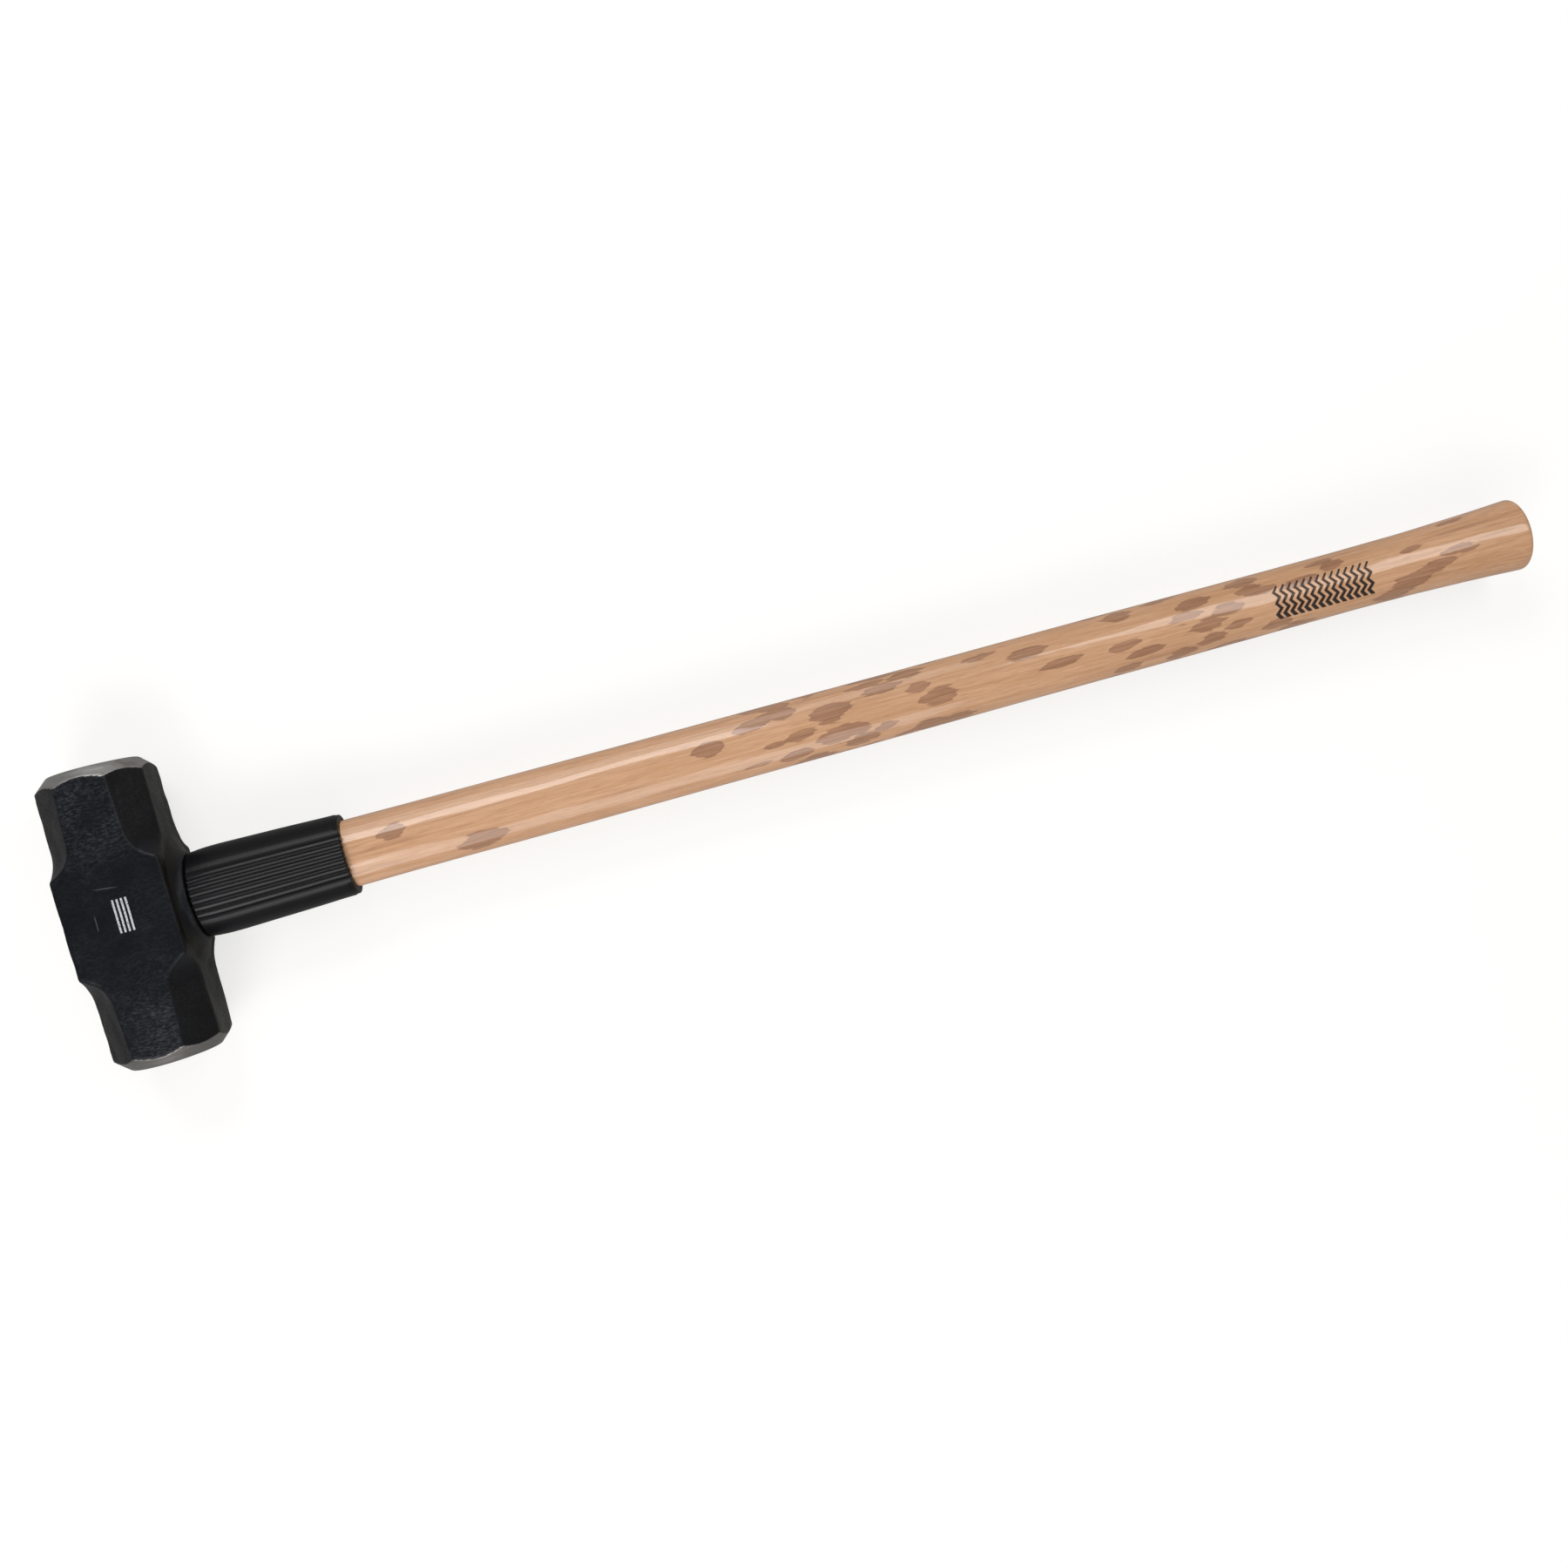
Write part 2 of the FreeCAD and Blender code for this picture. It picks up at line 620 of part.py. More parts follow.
def add_grooves(body):
    """Slots between the ribs, cut deep first and then filled up to the grooves' feet."""
    middle = "head_width / 2 + collar_height + sleeve_gap + sleeve_length / 2"
    sketch = add_sketch(body, "groove_outline", "YZ_Plane", middle)
    first_angle = "-(groove_count - 1) * groove_pitch / 2"
    sketch.AttachmentOffset = Placement(Vector(), Rotation(Vector(0, 0, 1), number(first_angle)))
    sketch.setExpression("AttachmentOffset.Rotation.Angle", size(first_angle))
    for side in (-1, 1):
        foot = f"{side} * groove_foot"
        reach = f"{side} * head_width / 2"
        add_outline(sketch, [
            ("-groove_width / 2", foot),
            ("groove_width / 2", foot),
            ("groove_width / 2", reach),
            ("-groove_width / 2", reach),
        ])
    before = body.Shape.Volume
    slots = add_pocket(body, "groove_pair", sketch, "sleeve_length - 2 * sleeve_rounding")
    check_cut(before, slots)
    pattern = body.newObject("PartDesign::PolarPattern", "grooves")
    pattern.Originals = [slots]
    pattern.Axis = (origin_feature(body, "X_Axis"), [""])
    pattern.setExpression("Angle", size("(groove_count - 1) * groove_pitch"))
    pattern.setExpression("Occurrences", size("groove_count"))
    body.Tip = pattern
    doc.recompute()
    check_cut(slots.Shape.Volume, pattern)
    add_loft(body, "AdditiveLoft", "groove_feet", sleeve_ovals("groove_depth"))


def make_rubber_sleeve():
    """A moulded tube with lengthwise ribs on the sides that face up and down."""
    body = add_body("rubber_sleeve")
    ovals = sleeve_ovals("0")
    add_loft(body, "AdditiveLoft", "barrel", ovals)
    add_grooves(body)
    add_rounded_end(body, "head_end", ovals[0], "sleeve_rounding", -1)
    add_rounded_end(body, "grip_end", ovals[-1], "sleeve_rounding", 1)
    before = body.Shape.Volume
    check_cut(before, add_shaft_stretch(body, "SubtractiveLoft", "bore", NECK, "0"))
    return body


# ---------------------------------------------------------------- build and write


def check_document():
    """A feature can fail without raising an error, so each one's state is read."""
    doc.recompute()
    for item in doc.Objects:
        if "Invalid" in item.State or "Error" in item.State:
            raise RuntimeError(f"{item.Name} has failed: {item.State}")


def write_part(part):
    """Writes one sub-part, once its shape is known to be sound."""
    checked(part).Shape.exportStep(f"parts/{part.Label}.step")
    print(part.Label, round(part.Shape.Volume / 1000, 2), "cm3")


fill_sheet()
parts = [
    make_head(),
    make_handle(),
    make_wooden_wedge(),
    make_steel_wedges(),
    make_rubber_sleeve(),
]
check_document()
doc.removeObject(probe.Name)
os.makedirs("parts", exist_ok=True)
for part in parts:
    write_part(part)
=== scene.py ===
import math

import bmesh
import bpy
import numpy as np
from mathutils import Matrix, Vector
from mathutils.bvhtree import BVHTree


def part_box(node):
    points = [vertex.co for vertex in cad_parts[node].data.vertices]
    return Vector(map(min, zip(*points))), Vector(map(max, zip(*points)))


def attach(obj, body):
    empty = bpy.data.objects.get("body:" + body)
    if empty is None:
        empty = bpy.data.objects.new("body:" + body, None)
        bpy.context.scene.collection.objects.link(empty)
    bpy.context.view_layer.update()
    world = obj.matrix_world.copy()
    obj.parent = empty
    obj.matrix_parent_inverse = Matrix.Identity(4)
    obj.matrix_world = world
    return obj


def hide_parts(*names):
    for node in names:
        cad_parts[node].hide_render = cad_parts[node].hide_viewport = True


# A double-faced sledgehammer that lies on one cheek: +X along the handle, +Y along the
# striking axis, +Z up. All lengths are in metres. Places come from the frame's nodes.

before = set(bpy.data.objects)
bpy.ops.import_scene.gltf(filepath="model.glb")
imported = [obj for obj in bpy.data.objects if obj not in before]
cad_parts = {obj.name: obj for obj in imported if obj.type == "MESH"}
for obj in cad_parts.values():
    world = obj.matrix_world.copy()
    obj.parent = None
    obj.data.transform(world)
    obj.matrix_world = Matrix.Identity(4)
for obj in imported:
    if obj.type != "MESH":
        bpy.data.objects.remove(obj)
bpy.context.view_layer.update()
HEAD_LOW, HEAD_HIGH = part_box("head")
HANDLE_LOW, HANDLE_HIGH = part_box("handle")
SLEEVE_LOW, SLEEVE_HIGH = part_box("rubber_sleeve")

MM = 0.001
AXIS_HEIGHT = (HEAD_LOW.z + HEAD_HIGH.z) / 2
FACE_Y = HEAD_HIGH.y
CHEEK_Z = HEAD_HIGH.z

# head
HEAD_VOXEL = 0.9 * MM
BEVEL_BAND = 17 * MM            # the turned bevels lie within this distance of the faces
FORGING_WAVE = 0.16 * MM        # how far the black forged skin waves in and out
SCALE_PITTING = 0.05 * MM
GRINDING_RIPPLE = 0.03 * MM

# plain print on the upper cheek: its middle along X and Y, and its bars
PRINT_MIDDLE = (3.4 * MM, 1.0 * MM)
PRINT_BARS = 4
PRINT_PITCH = 2.4 * MM
PRINT_BAR_WIDTH = 1.1 * MM
PRINT_BAR_LENGTH = 19 * MM

# handle
SHAFT_START = 33 * MM           # inside the collar, where the shaft's mesh meets the tenon's
TENON_VOXEL = 0.5 * MM
ROW_STEP = 1.5 * MM             # mesh rows along the shaft, and columns around it
COLUMN_STEP = 0.9 * MM
FINE_STEP = 0.3 * MM            # the same where the grip pattern is
BUTT_ROUNDING = 2.5 * MM
WOOD_WAVE = 0.07 * MM

MEASURING_STEP = 4 * MM         # between the ovals that are measured on a CAD node
BUTT_ARC_RINGS = 12
BUTT_END_SHARES = np.linspace(0.9, 0.05, 14)
CAP_SHARES = np.linspace(0.1, 0.9, 5)
RING_PITCH = 4.2 * MM           # between the tree's rings
HEART_ACROSS = 52 * MM          # the tree's heart ran this far beside the handle's axis
HEART_UP = 85 * MM

# burnt grip pattern: zigzag lines that run around the upper side of the handle
GRIP_MIDDLE = 727 * MM
GRIP_LINES = 14
GRIP_PITCH = 4.6 * MM
GRIP_SPAN = (-12.3 * MM, 8.2 * MM)
ZIGZAG_HEIGHT = 2.9 * MM
ZIGZAG_PERIOD = (GRIP_SPAN[1] - GRIP_SPAN[0]) / 3
BURN_WIDTH = 1.45 * MM
BURN_DEPTH = 0.3 * MM

# rubber sleeve
SLEEVE_STEP = 0.8 * MM
SLEEVE_COLUMNS = 420
SLEEVE_ROUNDING = 0.8 * MM
SLEEVE_CLEARANCE = 0.05 * MM    # between its bore and the wood
GROOVES = 8
GROOVE_PITCH = math.radians(9.6)
RIB_HEIGHT = 1.3 * MM
LIP_HEIGHT = 0.5 * MM
LIP_LENGTH = 3.5 * MM
SEAM_HEIGHT = 0.15 * MM
SEAM_WIDTH = 0.6 * MM

# Flecks of darker wood, strewn by chance over stretches of the handle: where a stretch
# starts and ends, and how many flecks it has all the way round
FLECKED_STRETCHES = [
    (140 * MM, 210 * MM, 4),
    (340 * MM, 480 * MM, 56),
    (480 * MM, 560 * MM, 10),
    (580 * MM, 690 * MM, 38),
    (690 * MM, 830 * MM, 28),
]
FLECK_LENGTHS = (14 * MM, 32 * MM)
FLECK_SLENDERNESS = (0.14, 0.46)   # a fleck's width over its length
FLECK_TILT = 0.07                  # they lean this much off the handle's axis
FLECK_SEED = 7
NO_FLECK = -1.0                    # the fleck attribute where there is none

# studio, in metres and watts: each light's name, place, width, height and power
LIT_PLACE = (0.30, 0.0, 0.03)
LIGHTS = [
    ("light_far_side", (0.06, 1.10, 1.03), 0.9, 0.44, 8),
    ("light_far_broad", (0.25, 1.50, 0.55), 1.3, 0.7, 5),
    ("light_near_side", (-0.45, -0.85, 1.20), 0.8, 0.5, 5),
    ("light_near_broad", (-0.05, -1.35, 0.85), 1.9, 1.1, 16),
    ("light_butt_side", (1.30, 0.46, 1.32), 1.0, 0.46, 6.5),
]
ROOM_STRENGTH = 0.165
FLOOR_HALF = 12.0
FLOOR_GAP = 0.2 * MM            # keeps the cheek and the floor from lying in one plane

# camera: place in metres, directions, and lens in millimetres
CAMERA_PLACE = (0.29785, 0.01791, 0.9172)
CAMERA_FORWARD = (0.0917, -0.0520, -0.9944)
CAMERA_RIGHT = (0.9595, -0.2623, 0.1022)
SENSOR_WIDTH = 36
FOCAL_LENGTH = 34.25
NEAREST_SEEN = 0.01


# ---------------------------------------------------------------- mesh helpers


def add_mesh(name, points, faces, smooth=True):
    """A new object from points and faces, with its faces turned outwards."""
    mesh = bpy.data.meshes.new(name)
    mesh.from_pydata(np.asarray(points, float).tolist(), [], faces)
    work = bmesh.new()
    work.from_mesh(mesh)
    bmesh.ops.recalc_face_normals(work, faces=work.faces)
    work.to_mesh(mesh)
    work.free()
    mesh.polygons.foreach_set("use_smooth", [smooth] * len(mesh.polygons))
    piece = bpy.data.objects.new(name, mesh)
    bpy.context.scene.collection.objects.link(piece)
    return piece


def grid_faces(rows, columns, loop):
    """Quads between the rings of a tube; with loop the last ring joins the first."""
    row, column = np.meshgrid(np.arange(rows if loop else rows - 1), np.arange(columns), indexing="ij")
    following = (row + 1) % rows
    beside = (column + 1) % columns
    corners = [row * columns + column, row * columns + beside,
               following * columns + beside, following * columns + column]
    return np.stack(corners, axis=-1).reshape(-1, 4).tolist()


def grid_normals(rings, loop):
    """Unit normals of rings of points, pointing away from the handle's axis."""
    if loop:
        along = np.roll(rings, -1, axis=0) - np.roll(rings, 1, axis=0)
    else:
        along = np.gradient(rings, axis=0)
    around = np.roll(rings, -1, axis=1) - np.roll(rings, 1, axis=1)
    normals = np.cross(around, along)
    return normals / np.linalg.norm(normals, axis=-1, keepdims=True)


def set_attribute(piece, name, values):
    """One number per point, which the materials read."""
    attribute = piece.data.attributes.new(name, "FLOAT", "POINT")
    attribute.data.foreach_set("value", np.asarray(values, np.float32).ravel())


def points_of(mesh):
    """The mesh's points as an array."""
    flat = np.empty(len(mesh.vertices) * 3)
    mesh.vertices.foreach_get("co", flat)
    return flat.reshape(-1, 3)


def normals_of(mesh):
    """The mesh's point normals as an array."""
    flat = np.empty(len(mesh.vertices) * 3)
    mesh.vertices.foreach_get("normal", flat)
    return flat.reshape(-1, 3)


def edges_of(mesh):
    """The mesh's edges as pairs of point numbers."""
    flat = np.empty(len(mesh.edges) * 2, np.int64)
    mesh.edges.foreach_get("vertices", flat)
    return flat.reshape(-1, 2)


def smooth_step(values, low, high):
    """0 below low, 1 above high, and a smooth rise in between."""
    share = np.clip((values - low) / (high - low), 0, 1)
    return share * share * (3 - 2 * share)


def waves(points, wavelengths, seed, count=24):
    """A smooth random field of about -1 to 1: many plane waves in seeded directions."""
    random = np.random.default_rng(seed)
    directions = random.normal(size=(count, 3))
    directions /= np.linalg.norm(directions, axis=1, keepdims=True)
    phases = random.uniform(0, 2 * math.pi, count)
    turns = (points / np.array(wavelengths)) @ directions.T
    return np.cos(2 * math.pi * turns + phases).sum(axis=-1) / math.sqrt(count)


def remeshed_copy(name, node, voxel, keep_below=None):
    """A closed, even mesh of a CAD node, cut off where X passes keep_below."""
    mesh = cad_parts[node].data.copy()
    work = bmesh.new()
    work.from_mesh(mesh)
    bmesh.ops.remove_doubles(work, verts=work.verts, dist=1e-6)
    if keep_below is not None:
        everything = work.verts[:] + work.edges[:] + work.faces[:]
        cut = bmesh.ops.bisect_plane(work, geom=everything, plane_co=(keep_below, 0, 0),
                                     plane_no=(1, 0, 0), clear_outer=True)
        rim = [item for item in cut["geom_cut"] if isinstance(item, bmesh.types.BMEdge)]
        bmesh.ops.holes_fill(work, edges=rim, sides=0)
    work.to_mesh(mesh)
    work.free()
    piece = bpy.data.objects.new(name, mesh)
    bpy.context.scene.collection.objects.link(piece)
    remesh = piece.modifiers.new("remesh", "REMESH")
    remesh.mode = "VOXEL"
    remesh.voxel_size = voxel
    smooth = piece.modifiers.new("smooth", "SMOOTH")
    smooth.factor = 0.5
    smooth.iterations = 2
    bpy.context.view_layer.update()
    depsgraph = bpy.context.evaluated_depsgraph_get()
    piece.data = bpy.data.meshes.new_from_object(piece.evaluated_get(depsgraph))
    piece.data.name = name
    piece.modifiers.clear()
    piece.data.materials.clear()
    piece.data.polygons.foreach_set("use_smooth", [True] * len(piece.data.polygons))
    return piece


def surface_of(node):
    """A tree of a CAD node's faces, to measure its outside with."""
    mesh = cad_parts[node].data
    faces = [tuple(face.vertices) for face in mesh.polygons]
    return BVHTree.FromPolygons([vertex.co for vertex in mesh.vertices], faces)


def oval_at(surface, x):
    """Half the width and half the depth of an outside that is oval about the handle's axis."""
    far = 1.0
    side = surface.ray_cast(Vector((x, far, AXIS_HEIGHT)), Vector((0, -1, 0)))[0]
    top = surface.ray_cast(Vector((x, 0, far)), Vector((0, 0, -1)))[0]
    return side.y, top.z - AXIS_HEIGHT


def measured_ovals(surface, places, every):
    """The ovals at the given places, from measurements at even steps that are then blended."""
    first, last = places[0], places[-1]
    stations = np.linspace(first, last, max(4, round((last - first) / every)))
    ovals = np.array([oval_at(surface, x) for x in stations])
    padded = np.concatenate([2 * ovals[:1] - ovals[1:2], ovals, 2 * ovals[-1:] - ovals[-2:-1]])
    blended = (padded[:-2] + 2 * padded[1:-1] + padded[2:]) / 4
    return np.stack([np.interp(places, stations, blended[:, side]) for side in (0, 1)], axis=1)


def oval_rings(places, ovals, turns):
    """Rings of points on ovals about the handle's axis; a turn of 0 points up."""
    across = ovals[:, :1] * np.sin(turns)
    up = ovals[:, 1:] * np.cos(turns)
    along = np.broadcast_to(np.asarray(places)[:, None], across.shape)
    return np.stack([along, across, up + AXIS_HEIGHT], axis=-1)


# ---------------------------------------------------------------- material helpers


class Shader:
    """A material's node tree, with short calls for the nodes that the materials share."""

    def __init__(self, name):
        self.material = bpy.data.materials.new(name)
        self.material.use_nodes = True
        self.tree = self.material.node_tree
        self.surface = self.tree.nodes["Principled BSDF"]
        self.place = self.add("ShaderNodeTexCoord").outputs["Object"]
        self.facing = self.add("ShaderNodeNewGeometry").outputs["True Normal"]

    def add(self, kind, inputs=(), **settings):
        """A node with its settings and its inputs, in order."""
        node = self.tree.nodes.new(kind)
        for name, value in settings.items():
            setattr(node, name, value)
        for socket, value in zip(node.inputs, inputs):
            self.feed(socket, value)
        return node

    def feed(self, socket, value):
        """Sets an input to a number or a colour, or links it to another node's output."""
        if isinstance(value, bpy.types.NodeSocket):
            self.tree.links.new(value, socket)
        elif value is not None:
            socket.default_value = value

    def set(self, **values):
        """Inputs of the surface, by their names with underscores for blanks."""
        for name, value in values.items():
            self.feed(self.surface.inputs[name.replace("_", " ")], value)

    def math(self, operation, *values):
        return self.add("ShaderNodeMath", values, operation=operation).outputs[0]

    def axes(self, vector=None):
        """The three parts of a vector, the place in the frame unless another is given."""
        return self.add("ShaderNodeSeparateXYZ", [vector or self.place]).outputs

    def stretched(self, cells):
        """The place in the frame, counted in cells per metre along X, Y and Z."""
        node = self.add("ShaderNodeVectorMath", [self.place, cells], operation="MULTIPLY")
        return node.outputs[0]

    def noise(self, cells, detail=3.0, roughness=0.55, distortion=0.0):
        """Noise of about 0 to 1 with so many cells per metre along X, Y and Z."""
        node = self.add("ShaderNodeTexNoise")
        self.feed(node.inputs["Vector"], self.stretched(cells))
        self.feed(node.inputs["Scale"], 1.0)
        self.feed(node.inputs["Detail"], detail)
        self.feed(node.inputs["Roughness"], roughness)
        self.feed(node.inputs["Distortion"], distortion)
        return node.outputs[0]

    def attribute(self, name):
        return self.add("ShaderNodeAttribute", attribute_name=name).outputs["Fac"]

    def step(self, value, low, high, start=0.0, end=1.0):
        """Goes smoothly from start to end while the value goes from low to high."""
        limits = [value, low, high, start, end]
        return self.add("ShaderNodeMapRange", limits, interpolation_type="SMOOTHSTEP").outputs[0]

    def mix(self, share, first, second):
        """A colour between two others."""
        node = self.add("ShaderNodeMix", data_type="RGBA")
        self.feed(node.inputs["Factor"], share)
        self.feed(node.inputs[6], first)
        self.feed(node.inputs[7], second)
        return node.outputs[2]

    def bump(self, height, distance, strength=1.0, normal=None):
        node = self.add("ShaderNodeBump")
        self.feed(node.inputs["Height"], height)
        self.feed(node.inputs["Distance"], distance)
        self.feed(node.inputs["Strength"], strength)
        self.feed(node.inputs["Normal"], normal)
        return node.outputs[0]


def colour(red, green, blue):
    """A colour for a node, from linear parts."""
    return (red, green, blue, 1.0)


PAINT_DARK = colour(0.0036, 0.0042, 0.0060)
PAINT_LIGHT = colour(0.0066, 0.0074, 0.0100)
# painted reflection: a warm brown tint on the flats that face along X, for the warm room they reflect
PAINT_SIDE_REFLECTION = colour(0.0075, 0.0066, 0.0052)
PAINT_SPECK = colour(0.052, 0.058, 0.069)
PAINT_WORN = colour(0.055, 0.055, 0.055)
PAINT_SCRATCH = colour(0.14, 0.14, 0.15)
PRINT_WHITE = colour(0.75, 0.77, 0.78)
STEEL_DARK = colour(0.20, 0.19, 0.175)
STEEL_LIGHT = colour(0.60, 0.59, 0.58)
STEEL_STAIN = colour(0.20, 0.175, 0.14)
# colour the bare steel is darkened towards, most of all at the -Y end
STEEL_DARKER_END = colour(0.085, 0.077, 0.068)
WOOD_DARK = colour(0.68, 0.395, 0.225)
WOOD_LIGHT = colour(0.81, 0.51, 0.325)
WOOD_RING = colour(0.55, 0.30, 0.16)
WOOD_CLOUD = colour(0.60, 0.36, 0.19)
WOOD_STREAK = colour(0.38, 0.18, 0.105)
WOOD_PORE = colour(0.34, 0.175, 0.10)
FLECK_DARK = colour(0.34, 0.172, 0.098)
FLECK_LIGHT = colour(0.50, 0.275, 0.165)
FLECK_PORE = colour(0.24, 0.125, 0.075)
FLECK_RIM = colour(0.27, 0.135, 0.08)
SAWN_LIGHT = colour(0.55, 0.34, 0.20)
SAWN_DARK = colour(0.45, 0.265, 0.15)
SAWN_PORE = colour(0.32, 0.185, 0.10)
SCORCHED = colour(0.22, 0.10, 0.045)
CHARRED = colour(0.026, 0.012, 0.006)
VARNISH_TINT = colour(0.90, 0.82, 0.74)
RUBBER_DARK = colour(0.0022, 0.0022, 0.0030)
RUBBER_LIGHT = colour(0.0042, 0.0042, 0.0056)
RUBBER_SCUFF = colour(0.024, 0.024, 0.028)
WEDGE_STEEL_DARK = colour(0.22, 0.21, 0.20)
WEDGE_STEEL_LIGHT = colour(0.40, 0.39, 0.37)
WEDGE_STEEL_MARK = colour(0.12, 0.08, 0.06)
WEDGE_WOOD_DARK = colour(0.24, 0.13, 0.065)
WEDGE_WOOD_LIGHT = colour(0.40, 0.24, 0.13)
WEDGE_WOOD_PORE = colour(0.13, 0.07, 0.035)
FLOOR_TONE = colour(0.36, 0.355, 0.345)
FLOOR_GLOW = colour(1.0, 0.995, 0.985)
ROOM_SEEN = colour(0.90, 0.90, 0.90)
ROOM_LIGHT = colour(0.95, 0.97, 1.0)


def paint_piece(piece, material):
    """Gives a piece, or a CAD node, its material."""
    if piece.data.materials:
        for index in range(len(piece.data.materials)):
            piece.data.materials[index] = material
    else:
        piece.data.materials.append(material)


# ---------------------------------------------------------------- head


def make_head():
    """The forging: its black skin waves a little, and its ends are ground bright."""
    piece = remeshed_copy("forged_head", "head", HEAD_VOXEL)
    mesh = piece.data
    points = points_of(mesh)
    normals = normals_of(mesh)
    from_face = FACE_Y - np.abs(points[:, 1])
    faces_out = np.abs(normals[:, 1])
    ground = smooth_step(faces_out, 0.3, 0.5) * (from_face < BEVEL_BAND)
    skin = waves(points, [14 * MM] * 3, seed=1) * FORGING_WAVE
    pits = np.minimum(waves(points, [3.5 * MM] * 3, seed=2), 0) * SCALE_PITTING
    ripple = waves(points, [30 * MM, 2.5 * MM, 30 * MM], seed=3) * GRINDING_RIPPLE
    height = (skin + pits) * (1 - ground) + ripple * ground
    # the cheeks stay flat enough to rest on, and the outside never grows past the design
    height = np.minimum(height - FORGING_WAVE / 2, 0)
    moved = points + normals * height[:, None]
    moved[:, 2] = np.maximum(moved[:, 2], HEAD_LOW.z)
    mesh.vertices.foreach_set("co", moved.ravel())
    mesh.update()
    set_attribute(piece, "ground", ground)
    set_attribute(piece, "edge", convexity(mesh))
    paint_piece(piece, head_material())
    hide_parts("head")
    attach(piece, "root")
    return piece


def convexity(mesh):
    """0 on flats and in hollows, rising towards 1 on sharp outer edges."""
    points, normals, edges = points_of(mesh), normals_of(mesh), edges_of(mesh)
    total = np.zeros_like(points)
    count = np.zeros(len(points))
    for here, there in ((0, 1), (1, 0)):
        np.add.at(total, edges[:, here], points[edges[:, there]])
        np.add.at(count, edges[:, here], 1)
    inwards = total / count[:, None] - points
    bend = -(inwards * normals).sum(axis=1) / HEAD_VOXEL
    for _ in range(2):
        spread = np.zeros_like(bend)
        for here, there in ((0, 1), (1, 0)):
            np.add.at(spread, edges[:, here], bend[edges[:, there]])
        bend = (bend + spread / count) / 2
    return smooth_step(bend, 0.03, 0.14)


def head_material():
    """Blue-black paint on forged skin, bare ground steel on the bevels and faces, and a print."""
    shader = Shader("black_paint_and_ground_steel")
    across, along, up = shader.axes()
    skin = shader.noise((900, 900, 900), detail=4)
    speck = shader.noise((420, 1100, 700), detail=4, roughness=0.75)
    cloud = shader.noise((45, 45, 45), detail=3)
    edge = shader.attribute("edge")
    ragged = shader.math("MULTIPLY_ADD", shader.noise((500, 500, 500), detail=2), 0.3, -0.15)
    ground = shader.step(shader.math("ADD", shader.attribute("ground"), ragged), 0.42, 0.58)

    black = shader.mix(cloud, PAINT_DARK, PAINT_LIGHT)
    # painted reflection: flats that face along X take a warm brown tint for the warm room they reflect
    side_reflection_share = shader.math("ABSOLUTE", shader.axes(shader.facing)[0])
    black = shader.mix(shader.step(side_reflection_share, 0.5, 0.9), black, PAINT_SIDE_REFLECTION)
    # light grey specks, strongest on faces that point up and towards the ends
    upwards = shader.step(shader.axes(shader.facing)[2], 0.8, 0.95, 0.2, 1.0)
    patchy = shader.math("MULTIPLY", shader.step(cloud, 0.36, 0.60, 0.4, 1.0),
                         shader.step(shader.math("ABSOLUTE", along), 18 * MM, 55 * MM, 0.22, 1.0))
    flecked = both(shader, shader.step(speck, 0.42, 0.66), patchy, upwards)
    black = shader.mix(shader.math("MULTIPLY", flecked, 0.75), black, PAINT_SPECK)
    worn = shader.math("MULTIPLY", edge, shader.step(skin, 0.40, 0.62))
    black = shader.mix(shader.math("MULTIPLY", worn, 0.35), black, PAINT_WORN)
    black = shader.mix(shader.math("MULTIPLY", scratches(shader, across, along, up), 0.5),
                       black, PAINT_SCRATCH)
    black = shader.mix(shader.math("MULTIPLY", print_mask(shader, across, along, up), 0.85),
                       black, PRINT_WHITE)

    brushed = shader.noise((60, 2200, 60), detail=3, roughness=0.6)
    steel = shader.mix(brushed, STEEL_DARK, STEEL_LIGHT)
    stain = shader.step(shader.noise((90, 90, 90), detail=4), 0.52, 0.75)
    steel = shader.mix(shader.math("MULTIPLY", stain, 0.55), steel, STEEL_STAIN)
    # the bare steel is darker at the -Y end, and a little at the +Y end
    darker_to_minus_y = shader.step(along, -20 * MM, 20 * MM, 0.60, 0.22)
    steel = shader.mix(darker_to_minus_y, steel, STEEL_DARKER_END)

    paint_roughness = shader.step(skin, 0.2, 0.8, 0.30, 0.46)
    steel_roughness = shader.step(brushed, 0.2, 0.8, 0.40, 0.55)
    roughness = shader.add("ShaderNodeMix", data_type="FLOAT")
    for name, value in (("Factor", ground), ("A", paint_roughness), ("B", steel_roughness)):
        shader.feed(roughness.inputs[name], value)

    grit = shader.math("MULTIPLY", shader.noise((1300, 1300, 1300), detail=2), shader.step(cloud, 0.35, 0.6))
    fine = shader.bump(grit, 0.16 * MM, 0.8)
    coarse = shader.bump(shader.noise((260, 260, 260), detail=4, roughness=0.65), 0.35 * MM, 0.5, fine)
    height = shader.math("MULTIPLY", brushed, ground)
    normal = shader.bump(height, 0.05 * MM, 0.6, coarse)
    shader.set(
        Base_Color=shader.mix(ground, black, steel),
        Metallic=ground,
        Specular_IOR_Level=0.19,
        Roughness=roughness.outputs[0],
        Normal=normal,
    )
    return shader.material


def inside(shader, value, low, high, soft=0.15 * MM):
    """1 where a value lies between two limits."""
    above = shader.step(value, low - soft, low + soft)
    below = shader.step(value, high - soft, high + soft, 1.0, 0.0)
    return shader.math("MULTIPLY", above, below)


def both(shader, *masks):
    """The masks' product."""
    result = masks[0]
    for mask in masks[1:]:
        result = shader.math("MULTIPLY", result, mask)
    return result


def on_upper_cheek(shader, up):
    """1 on the upper cheek, whose skin waves a little under the design's height."""
    return shader.step(up, CHEEK_Z - 1.5 * MM, CHEEK_Z - 1.0 * MM)


